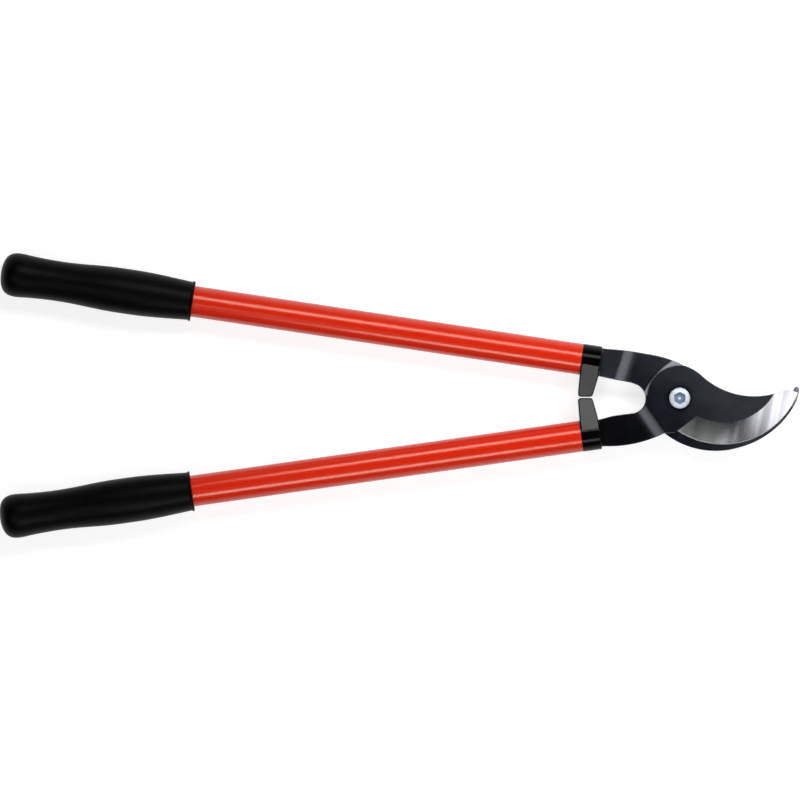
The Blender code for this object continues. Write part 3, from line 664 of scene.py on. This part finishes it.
def grown(name, tree, inputs):
    """The mesh that a Geometry Nodes tree makes from those inputs, given by their names."""
    holder = as_object(name, bpy.data.meshes.new(name))
    grower = holder.modifiers.new("Grow", "NODES")
    grower.node_group = tree
    for item in tree.interface.items_tree:
        if item.in_out == "INPUT":
            grower[item.identifier] = inputs[item.name]
    return evaluated_mesh(holder)


zinc = zinc_plate("bright zinc plate", "C6D4E2", "E2EAF2", 0.35, 0.55)
# Darker, greyer zinc for the key socket: painted shade for the recess.
zinc_painted_shade = zinc_plate("zinc painted darker as shade in a recess", "74889E", "90A4B8", 0.5, 0.45)
dome_height = HEAD_TOP - HEAD_BOTTOM - HEAD_RIM
quarter = [math.pi / 2 * i / 16 for i in range(17)]
dome = [(HEAD_RADIUS * math.sin(a), HEAD_TOP - dome_height * (1 - math.cos(a))) for a in quarter]
shank = [
    (HEAD_RADIUS, HEAD_BOTTOM + EDGE_BREAK),
    (HEAD_RADIUS - EDGE_BREAK, HEAD_BOTTOM),
    (SHANK_RADIUS, HEAD_BOTTOM),
    (SHANK_RADIUS, SHANK_END + EDGE_BREAK),
    (SHANK_RADIUS - EDGE_BREAK, SHANK_END),
    (THREAD_CORE, SHANK_END),
    (THREAD_CORE, THREAD_CHAMFER),
    (THREAD_CORE - THREAD_CHAMFER, 0.0),
    (0.0, 0.0),
]
socket_top, socket_floor = HEAD_TOP + 2, HEAD_TOP - SOCKET_DEPTH
pilot_top = socket_floor + 0.5
dimple = [(0.0, socket_floor - PILOT_DEPTH), (PILOT_RADIUS, socket_floor + 0.05)]
dimple += [(PILOT_RADIUS, pilot_top), (0.0, pilot_top)]
mouth, lead_end = SOCKET_FLATS / math.sqrt(3) + 0.25, HEAD_TOP - 0.6
lead_in = [(0.0, socket_top), (mouth + 2.2, socket_top), (mouth - 0.5, lead_end), (0.0, lead_end)]
mesh = carved(
    as_object("bolt blank", turned(dome + shank, 128), zinc),
    (as_object("key socket", hexagon(SOCKET_FLATS, socket_floor, socket_top), zinc_painted_shade), "DIFFERENCE"),
    (as_object("pilot dimple", turned(dimple, 48), zinc), "DIFFERENCE"),
    (as_object("socket lead-in", turned(lead_in, 96), zinc), "DIFFERENCE"),
)
finished("socket_bolt", mesh, "hook_side", "pivot_bolt")
thread_sizes = {
    "Core Radius": THREAD_CORE * MM,
    "Pitch": THREAD_PITCH * MM,
    "Turns": (SHANK_END - 2 * THREAD_START) / THREAD_PITCH,
    "Ridge": (THREAD_CREST - THREAD_CORE) * MM,
    "Finish": zinc,
}
mesh = grown("bolt_thread", thread_tree(), thread_sizes)
mesh.transform(Matrix.Translation((0, 0, THREAD_START * MM)))
thread = as_object("bolt_thread", mesh)
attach(thread, "hook_side")

# Disc spring: a coned washer of spring steel that holds the two jaws together without play. It is stamped,
# tempered blue and oiled, and its two rims are tumbled smooth.
SPRING_BOTTOM, SPRING_TOP = (corner[2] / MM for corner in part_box("disc_spring"))
SPRING_METAL = 0.6
WASHER_RADIUS = 10.0


def eased(points, radius, steps=3):
    """The closed outline with each of its corners turned into a small round."""
    soft = []
    for before, here, after in zip(points[-1:] + points[:-1], points, points[1:] + points[:1]):
        here, into, out = Vector(here), Vector(before) - Vector(here), Vector(after) - Vector(here)
        start = here + into.normalized() * min(radius, into.length * 0.45)
        end = here + out.normalized() * min(radius, out.length * 0.45)
        for t in (i / steps for i in range(steps + 1)):
            soft.append(tuple(start * (1 - t) ** 2 + here * 2 * t * (1 - t) + end * t * t))
    return soft


tempered = blackened_steel("tempered spring steel", "2B2D3A", "4A4858", 0.3, 0.3)
section = [
    (WASHER_RADIUS, SPRING_BOTTOM + SPRING_METAL),
    (WASHER_RADIUS, SPRING_BOTTOM),
    (SHANK_RADIUS + GAP, SPRING_TOP - SPRING_METAL),
    (SHANK_RADIUS + GAP, SPRING_TOP),
]
mesh = evaluated_mesh(as_object("spring", turned(eased(section, 0.15), 96, closed=True), tempered))
finished("coned_spring", mesh, "hook_side", "disc_spring")

# Nut washer and lock nut: a blanked flat washer, and a hexagon nut whose thin collar is rolled in over a
# nylon ring that grips the thread. Both are zinc plated like the bolt.
WASHER_BOTTOM, WASHER_TOP = (corner[2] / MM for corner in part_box("nut_washer"))
NUT_BOTTOM, NUT_TOP = (corner[2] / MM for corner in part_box("pivot_nut"))
LOCK_BOTTOM, LOCK_TOP = (corner[2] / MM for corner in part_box("nut_lock_ring"))
NUT_FLATS = 13.0
NUT_CHAMFER = 0.9
NUT_HEX_BOTTOM = 2.9
NUT_BORE = 4.1
NUT_COLLAR = 6.1
LOCK_RADIUS = 4.8
COLLAR_ROLL = 0.6


def ring(inner, outer, bottom, top, corner, steps=96):
    """A ring or a tube about Z, the corners of its section rounded."""
    section = [(outer, top), (outer, bottom), (inner, bottom), (inner, top)]
    return turned(eased(section, corner), steps, closed=True)


def moulded_nylon():
    """Natural nylon: milky, a little light comes through its edges, with soft flow lines from the mould."""
    made, tree, shader, place = new_finish("natural moulded nylon")
    flow = add(tree, "ShaderNodeTexNoise", {"Vector": place, "Scale": 1 / (5 * MM), "Detail": 2.0})
    tints = {"Factor": flow, "A": linear("DAD5C8"), "B": linear("ECE9E0")}
    colour = add(tree, "ShaderNodeMix", tints, data_type="RGBA")
    sheen = add(tree, "ShaderNodeMapRange", {"Value": flow, "To Min": 0.4, "To Max": 0.55})
    feed(shader, {"IOR": 1.53, "Subsurface Weight": 0.2, "Base Color": colour, "Roughness": sheen})
    return made


nylon = moulded_nylon()
washer = ring(NUT_BORE, WASHER_RADIUS, WASHER_BOTTOM, WASHER_TOP, 0.25)
mesh = evaluated_mesh(as_object("washer", washer, zinc))
finished("plain_washer", mesh, "hook_side", "nut_washer")
corner = NUT_FLATS / math.sqrt(3)
face_rim, past_corner = corner - 1.2, corner + 0.4
chamfer = [(0, NUT_TOP + 1), (face_rim, NUT_TOP), (past_corner, NUT_TOP - NUT_CHAMFER)]
chamfer += [(past_corner, NUT_HEX_BOTTOM + NUT_CHAMFER), (face_rim, NUT_HEX_BOTTOM)]
chamfer += [(NUT_COLLAR, NUT_HEX_BOTTOM), (NUT_COLLAR, NUT_BOTTOM + COLLAR_ROLL)]
chamfer += [(NUT_COLLAR - COLLAR_ROLL, NUT_BOTTOM), (0, NUT_BOTTOM)]
groove, groove_top, groove_bottom = LOCK_RADIUS + GAP, LOCK_TOP + GAP, LOCK_BOTTOM - GAP
rolled_mouth, below = NUT_BORE + 0.4, -2.0
bore = [(0, NUT_TOP + 2), (NUT_BORE + 1.0, NUT_TOP + 1), (NUT_BORE, NUT_TOP - 0.6), (NUT_BORE, groove_top)]
bore += [(groove, groove_top), (groove, groove_bottom), (rolled_mouth, groove_bottom)]
bore += [(rolled_mouth, below), (0, below)]
mesh = carved(
    as_object("nut blank", hexagon(NUT_FLATS, -1.0, NUT_TOP), zinc),
    (as_object("nut chamfers", turned(chamfer, 96), zinc), "INTERSECT"),
    (as_object("nut bore", turned(bore, 96), zinc), "DIFFERENCE"),
)
finished("lock_nut", mesh, "hook_side", "pivot_nut")
insert = ring(NUT_BORE, LOCK_RADIUS, LOCK_BOTTOM, LOCK_TOP, 0.15)
mesh = evaluated_mesh(as_object("insert", insert, nylon))
finished("nut_insert", mesh, "hook_side", "nut_lock_ring")

# Ferrules: black glass-filled nylon, moulded in one piece: a collar on the end of the tube with a spigot in
# its bore, a slot for the jaw's tang, and the stop block that meets the other one when the lopper is shut.
COLLAR_END = 79.1
COLLAR_RADIUS = 12.2
COLLAR_CORNER = 0.8
SPIGOT_END = 90.0
SPIGOT_LEAD_IN = 0.6
PLUG_END = 124.0
TUBE_RADIUS = 12.0
TUBE_BORE = 10.5
STOP_MEETING_LINE = 0.55
STOP_GAP = 0.9
STOP_TIP_LEFT = -77.4
STOP_TIP_RIGHT = -67.6
STOP_TIP_CHAMFER = 2.0
STOP_TIP_SLANTS = (0.9, 1.0)
STOP_CORNER = 1.8
BLOCK_HALF = 11.9
BLOCK_RIM = 0.9
BLOCK_SETBACK = 0.4
DRAFT_START = 3.0
BLOCK_DRAFT = {"upper": 0.12, "lower": 0.2}
HANDLES = (("upper", 1, UPPER_TILT, "hook_side"), ("lower", -1, LOWER_TILT, "blade_side"))


def moulded_black(name, dark, light, roughness, grain_size, gloss):
    """Black moulding with the fine grain of a spark-eroded mould, which swallows most of the reflection of
    a soft or a deep-dyed plastic (gloss well under 0.5), and a faint bloom where hands rub it. The grain is
    drawn several times coarser than it is, so that it shows."""
    made, tree, shader, place = new_finish(name)
    bloom = add(tree, "ShaderNodeTexNoise", {"Vector": place, "Scale": 1 / (14 * MM), "Detail": 3.0})
    pits = {"Vector": place, "Scale": 1 / (grain_size * MM), "Detail": 1.0}
    grain = add(tree, "ShaderNodeTexNoise", pits)
    tints = {"Factor": bloom, "A": linear(dark), "B": linear(light)}
    colour = add(tree, "ShaderNodeMix", tints, data_type="RGBA")
    rough = {"Value": bloom, "To Min": roughness - 0.06, "To Max": roughness + 0.06}
    sheen = add(tree, "ShaderNodeMapRange", rough)
    relief = add(tree, "ShaderNodeBump", {"Height": grain, "Strength": 0.35, "Distance": 0.03 * MM})
    feed(shader, {"IOR": 1.53, "Specular IOR Level": gloss, "Base Color": colour})
    feed(shader, {"Roughness": sheen, "Normal": relief})
    return made


def box_between(low, high):
    """A rectangular block between two corners."""
    shape = bmesh.new()
    bmesh.ops.create_cube(shape, size=1.0)
    for vert in shape.verts:
        vert.co = [(lo if c < 0 else hi) * MM for c, lo, hi in zip(vert.co, low, high)]
    return shape


def along(shape, place):
    """Lays a shape that was made about Z along a handle."""
    return moved(shape, place @ Matrix.Rotation(math.pi / 2, 4, "Y"))


def stop_block_outline(side, tilt):
    """Plan of the stop block: from the handle's axis to its tip, which faces the other block."""
    tip = STOP_MEETING_LINE + side * STOP_GAP / 2
    chamfer = tip + side * STOP_TIP_CHAMFER
    left_slant, right_slant = STOP_TIP_SLANTS
    return [
        handle_point(side, tilt, COLLAR_START, 0),
        handle_point(side, tilt, COLLAR_END - BLOCK_SETBACK, 0),
        handle_point(side, tilt, COLLAR_END - BLOCK_SETBACK, TUBE_RADIUS),
        (STOP_TIP_LEFT - left_slant, chamfer),
        (STOP_TIP_LEFT, tip),
        (STOP_TIP_RIGHT, tip),
        (STOP_TIP_RIGHT + right_slant, chamfer),
        handle_point(side, tilt, COLLAR_START, TUBE_RADIUS),
    ]


ferrule_black = moulded_black("polished nylon moulding", "020202", "050505", 0.14, 0.5, 0.08)
block_black = moulded_black("spark-grained nylon moulding", "303130", "404140", 0.42, 0.5, 0.5)
spigot = TUBE_BORE - GAP
slot_low = (-TANG_HALF - GAP, -TONGUE_WIDTH / 2 - GAP, COLLAR_START - 5)
slot_high = (TANG_HALF + GAP, TONGUE_WIDTH / 2 + GAP, PLUG_END + 5)
for name, side, tilt, body in HANDLES:
    place = handle_place(side, tilt)
    profile = [(0, SPIGOT_END), (spigot - SPIGOT_LEAD_IN, SPIGOT_END), (spigot, SPIGOT_END - SPIGOT_LEAD_IN)]
    profile += [(spigot, COLLAR_END), (COLLAR_RADIUS - EDGE_BREAK, COLLAR_END)]
    profile += [(COLLAR_RADIUS, COLLAR_END - EDGE_BREAK)]
    for turn in (math.pi / 2 * i / 8 for i in range(9)):
        radius = COLLAR_RADIUS - COLLAR_CORNER * (1 - math.cos(turn))
        profile.append((radius, COLLAR_START + COLLAR_CORNER * (1 - math.sin(turn))))
    collar = along(turned(profile + [(0, COLLAR_START)], 128), place)
    levels = rounded(MID_PLANE - BLOCK_HALF, MID_PLANE + BLOCK_HALF, BLOCK_RIM, BLOCK_RIM)
    block = layered(eased(stop_block_outline(side, tilt), STOP_CORNER), levels, edge_slot=1)
    for vert in block.verts:
        inward = side * (place.inverted() @ vert.co).y / MM
        thinner = 1 - max(inward - DRAFT_START, 0.0) * BLOCK_DRAFT[name] / BLOCK_HALF
        vert.co.z = (MID_PLANE + (vert.co.z / MM - MID_PLANE) * thinner) * MM
    slot = along(box_between(slot_low, slot_high), place)
    mesh = carved(
        as_object("collar", collar, ferrule_black),
        (as_object("stop block", block, block_black, ferrule_black), "UNION"),
        (as_object("tang slot", slot, ferrule_black), "DIFFERENCE"),
    )
    finished(name + "_collar", mesh, body, name + "_ferrule")

# Tang plugs and pins: a nylon plug centres the tang in the tube, and a slotted spring pin, driven across
# tube, plug and tang, holds the jaw in its handle.
PIN_BORE = 1.2
PIN_SLIT = 0.8
PIN_SUNK = 0.4
PLUG_CHAMFER = 0.8

for name, side, tilt, body in HANDLES:
    place = handle_place(side, tilt)
    plug_start = SPIGOT_END + GAP
    profile = [(0, PLUG_END), (spigot - PLUG_CHAMFER, PLUG_END), (spigot, PLUG_END - PLUG_CHAMFER)]
    plug = along(turned(profile + [(spigot, plug_start), (0, plug_start)], 96), place)
    slot = along(box_between(slot_low, slot_high), place)
    mesh = carved(
        as_object("plug", plug, nylon),
        (as_object("plug slot", slot, nylon), "DIFFERENCE"),
        pin_hole("plug pin hole", place, nylon),
    )
    finished(name + "_plug", mesh, body, name + "_tang_plug")
    pin_end = TUBE_RADIUS - PIN_SUNK
    pin = moved(ring(PIN_BORE, PIN_RADIUS, -pin_end, pin_end, EDGE_BREAK, steps=48), pin_place(place))
    slit = box_between((0, -PIN_SLIT / 2, -PIN_CUT), (2 * PIN_RADIUS, PIN_SLIT / 2, PIN_CUT))
    slit = as_object("pin slit", moved(slit, pin_place(place)), tempered)
    mesh = carved(as_object("pin", pin, tempered), (slit, "DIFFERENCE"))
    finished(name + "_pin", mesh, body, name + "_tang_pin")

# Tubes: welded steel tube, 24 mm by 1.5 mm, pushed over the ferrule's spigot and sprayed glossy red. The
# hole for the pin is drilled through the paint.
TUBE_END = 524.0
TUBE_GAP = 0.05


def red_enamel():
    """Sprayed enamel: saturated red under its own gloss, slightly wavy, as paint is that ran level."""
    made, tree, shader, place = new_finish("sprayed red enamel")
    depth = add(tree, "ShaderNodeTexNoise", {"Vector": place, "Scale": 1 / (60 * MM), "Detail": 2.0})
    wave = add(tree, "ShaderNodeTexNoise", {"Vector": place, "Scale": 1 / (2.5 * MM), "Detail": 1.0})
    tints = {"Factor": depth, "A": linear("D7240B"), "B": linear("DD280D")}
    colour = add(tree, "ShaderNodeMix", tints, data_type="RGBA")
    sheen = add(tree, "ShaderNodeMapRange", {"Value": wave, "To Min": 0.18, "To Max": 0.24})
    relief = add(tree, "ShaderNodeBump", {"Height": wave, "Strength": 0.15, "Distance": 0.02 * MM})
    feed(shader, {"IOR": 1.5, "Specular Tint": linear("FFF2DC"), "Base Color": colour})
    feed(shader, {"Roughness": sheen, "Normal": relief})
    return made


enamel = red_enamel()
for name, side, tilt, body in HANDLES:
    place = handle_place(side, tilt)
    tube = ring(TUBE_BORE, TUBE_RADIUS, COLLAR_END + TUBE_GAP, TUBE_END, EDGE_BREAK, steps=144)
    tube = along(tube, place)
    mesh = carved(as_object("tube", tube, enamel), pin_hole("tube pin hole", place, milled_steel))
    finished(name + "_handle_tube", mesh, body, name + "_tube")

# Grips: soft black plastic, moulded over the tube's end with a closed butt, a waist behind it for the hand
# and a small lip where the grip stops on the tube. A fine parting line runs along both sides.
GRIP_END = 531.0
GRIP_LENGTH = 149.4
GRIP_FLOOR = 0.6
PARTING_RISE = 0.12
PARTING_LEAST_RADIUS = 13.0
GRIP_BUTT = [(0.0, 0.0), (4.6, 0.3), (8.8, 1.2), (12.1, 2.7), (14.4, 4.8), (16.0, 7.7), (16.7, 11.4)]
GRIP_WAIST = [(16.7, 16.0), (16.1, 23.0), (15.65, 31.0), (15.35, 40.0), (15.3, 46.5), (15.5, 56.0)]
GRIP_SWELL = [(16.0, 65.0), (16.6, 74.0), (17.05, 83.0), (17.2, 92.5), (17.15, 108.0), (16.6, 121.0)]
GRIP_NECK = [(15.7, 134.0), (15.0, 143.0), (14.7, 147.0)]
GRIP_LIP = [(15.1, 147.7), (15.4, 148.3), (15.3, GRIP_LENGTH - EDGE_BREAK), (15.0, GRIP_LENGTH)]


def flowing(points, steps=4):
    """A smooth line through all the points, with some more between each two."""
    ends = [points[0]] + points + [points[-1]]
    line = []
    for a, b, c, d in zip(ends, ends[1:], ends[2:], ends[3:]):
        for t in (i / steps for i in range(steps)):
            weights = (-t + 2 * t**2 - t**3, 2 - 5 * t**2 + 3 * t**3, t + 4 * t**2 - 3 * t**3, t**3 - t**2)
            line.append(tuple(sum(w * p[i] for w, p in zip(weights, (a, b, c, d))) / 2 for i in (0, 1)))
    return line + [points[-1]]


grip_black = moulded_black("moulded soft grip", "020202", "040404", 0.42, 0.6, 0.055)
for name, side, tilt, body in HANDLES:
    bore, floor = TUBE_RADIUS + GAP, GRIP_END - TUBE_END - GRIP_FLOOR
    profile = flowing(GRIP_BUTT + GRIP_WAIST + GRIP_SWELL + GRIP_NECK) + GRIP_LIP
    profile += [(bore + EDGE_BREAK, GRIP_LENGTH), (bore, GRIP_LENGTH - EDGE_BREAK)]
    profile += [(bore, floor), (0.0, floor)]
    grip = turned([(radius, GRIP_END - depth) for radius, depth in profile], 144)
    for vert in grip.verts:
        radius = math.hypot(vert.co.x, vert.co.y)
        if abs(vert.co.x) < SPECK and radius > PARTING_LEAST_RADIUS * MM:
            vert.co.y *= 1 + PARTING_RISE * MM / radius
    mesh = evaluated_mesh(as_object("grip", along(grip, handle_place(side, tilt)), grip_black))
    finished(name + "_hand_grip", mesh, body, name + "_grip")

# Floor, lamps and camera: a pale table, and over it a long softbox beyond the handles, a short one before
# them, a faint one at the blade's tip and a high one on the left, in a dim room. The camera looks straight
# down from about 10 m. Sizes and places here are in metres.
TABLE_REACH = 4.0
TABLE_DROP = 0.0002
TABLE_GLOW = 0.7
FRAME_WIDTH = 0.616
CAMERA_LENS = 600.0
CAMERA_SENSOR = 36.0
VIEW_CENTRE = (-0.2152, -0.00146)


def softbox(name, centre, size, radiance, aim=(0.0, 0.0, 0.0)):
    """A rectangular softbox that faces a point. Its radiance is what a mirror would show of it."""
    lamp = bpy.data.lights.new(name, "AREA")
    lamp.shape, (lamp.size, lamp.size_y) = "RECTANGLE", size
    lamp.energy = radiance * math.pi * size[0] * size[1]
    made = bpy.data.objects.new(name, lamp)
    bpy.context.scene.collection.objects.link(made)
    facing = (Vector(centre) - Vector(aim)).to_track_quat("Z", "Y").to_matrix().to_4x4()
    made.matrix_world = Matrix.Translation(centre) @ facing


def table_finish():
    """Matt white table: it reads as a plain pale ground and keeps the lopper's soft shadow. Its glow shows
    to the camera and in mirror images only, and lights nothing."""
    made, tree, shader, place = new_finish("matt white table")
    fibre = add(tree, "ShaderNodeTexNoise", {"Vector": place, "Scale": 1 / (3 * MM), "Detail": 2.0})
    tints = {"Factor": fibre, "A": linear("C4C4C4"), "B": linear("C8C8C8")}
    colour = add(tree, "ShaderNodeMix", tints, data_type="RGBA")
    ray = add(tree, "ShaderNodeLightPath", {}).node.outputs
    bounced = {0: ray["Is Glossy Ray"], 1: ray["Is Transmission Ray"]}
    mirrored = add(tree, "ShaderNodeMath", bounced, operation="ADD")
    straight = {0: ray["Is Camera Ray"], 1: mirrored}
    seen = add(tree, "ShaderNodeMath", straight, operation="ADD", use_clamp=True)
    lift = add(tree, "ShaderNodeMath", {0: seen, 1: TABLE_GLOW}, operation="MULTIPLY")
    feed(shader, {"Base Color": colour, "Roughness": 1.0})
    feed(shader, {"Emission Color": (1, 1, 1, 1), "Emission Strength": lift})
    return made


floor = bmesh.new()
bmesh.ops.create_grid(floor, x_segments=1, y_segments=1, size=TABLE_REACH)
bmesh.ops.translate(floor, vec=(0, 0, -TABLE_DROP), verts=floor.verts)
as_object("table", floor, table_finish())
softbox("far softbox", (0.345, 0.56, 0.8), (1.51, 0.3), 7.2, aim=(0.345, 0.0, 0.0))
softbox("near softbox", (-0.15, -0.72, 0.8), (0.44, 0.3), 8.2, aim=(-0.15, 0.0, 0.0))
softbox("right softbox", (0.44, -0.24, 0.8), (0.4, 0.36), 2.9, aim=(0.44, -0.24, 0.0))
softbox("left softbox", (-0.91, -0.64, 2.0), (0.7, 0.7), 3.4)

room = bpy.data.worlds.new("dim room")
room.use_nodes = True
bpy.context.scene.world = room
tree = room.node_tree
direction = add(tree, "ShaderNodeTexCoord", {}, "Generated")
split = add(tree, "ShaderNodeSeparateXYZ", {0: direction}).node.outputs
ceiling = {"Value": split["Z"], "From Min": 0.1, "From Max": 0.5}
height = add(tree, "ShaderNodeMapRange", ceiling)
sides = {"Value": split["Y"], "From Min": -0.7, "From Max": 0.7, "To Min": 0.2, "To Max": 0.7}
horizon = add(tree, "ShaderNodeMapRange", sides)
level = add(tree, "ShaderNodeMix", {"Factor": height, "A": horizon, "B": 0.03}, data_type="FLOAT")
feed(tree.nodes["Background"], {"Color": (1, 1, 1, 1), "Strength": level})

camera = bpy.data.cameras.new("camera")
camera.lens, camera.sensor_width = CAMERA_LENS, CAMERA_SENSOR
distance = FRAME_WIDTH * CAMERA_LENS / CAMERA_SENSOR
camera_object = bpy.data.objects.new("camera", camera)
camera_object.location = (*VIEW_CENTRE, MID_PLANE * MM + distance)
bpy.context.scene.collection.objects.link(camera_object)
bpy.context.scene.camera = camera_object
bpy.context.scene.view_settings.view_transform = "Standard"
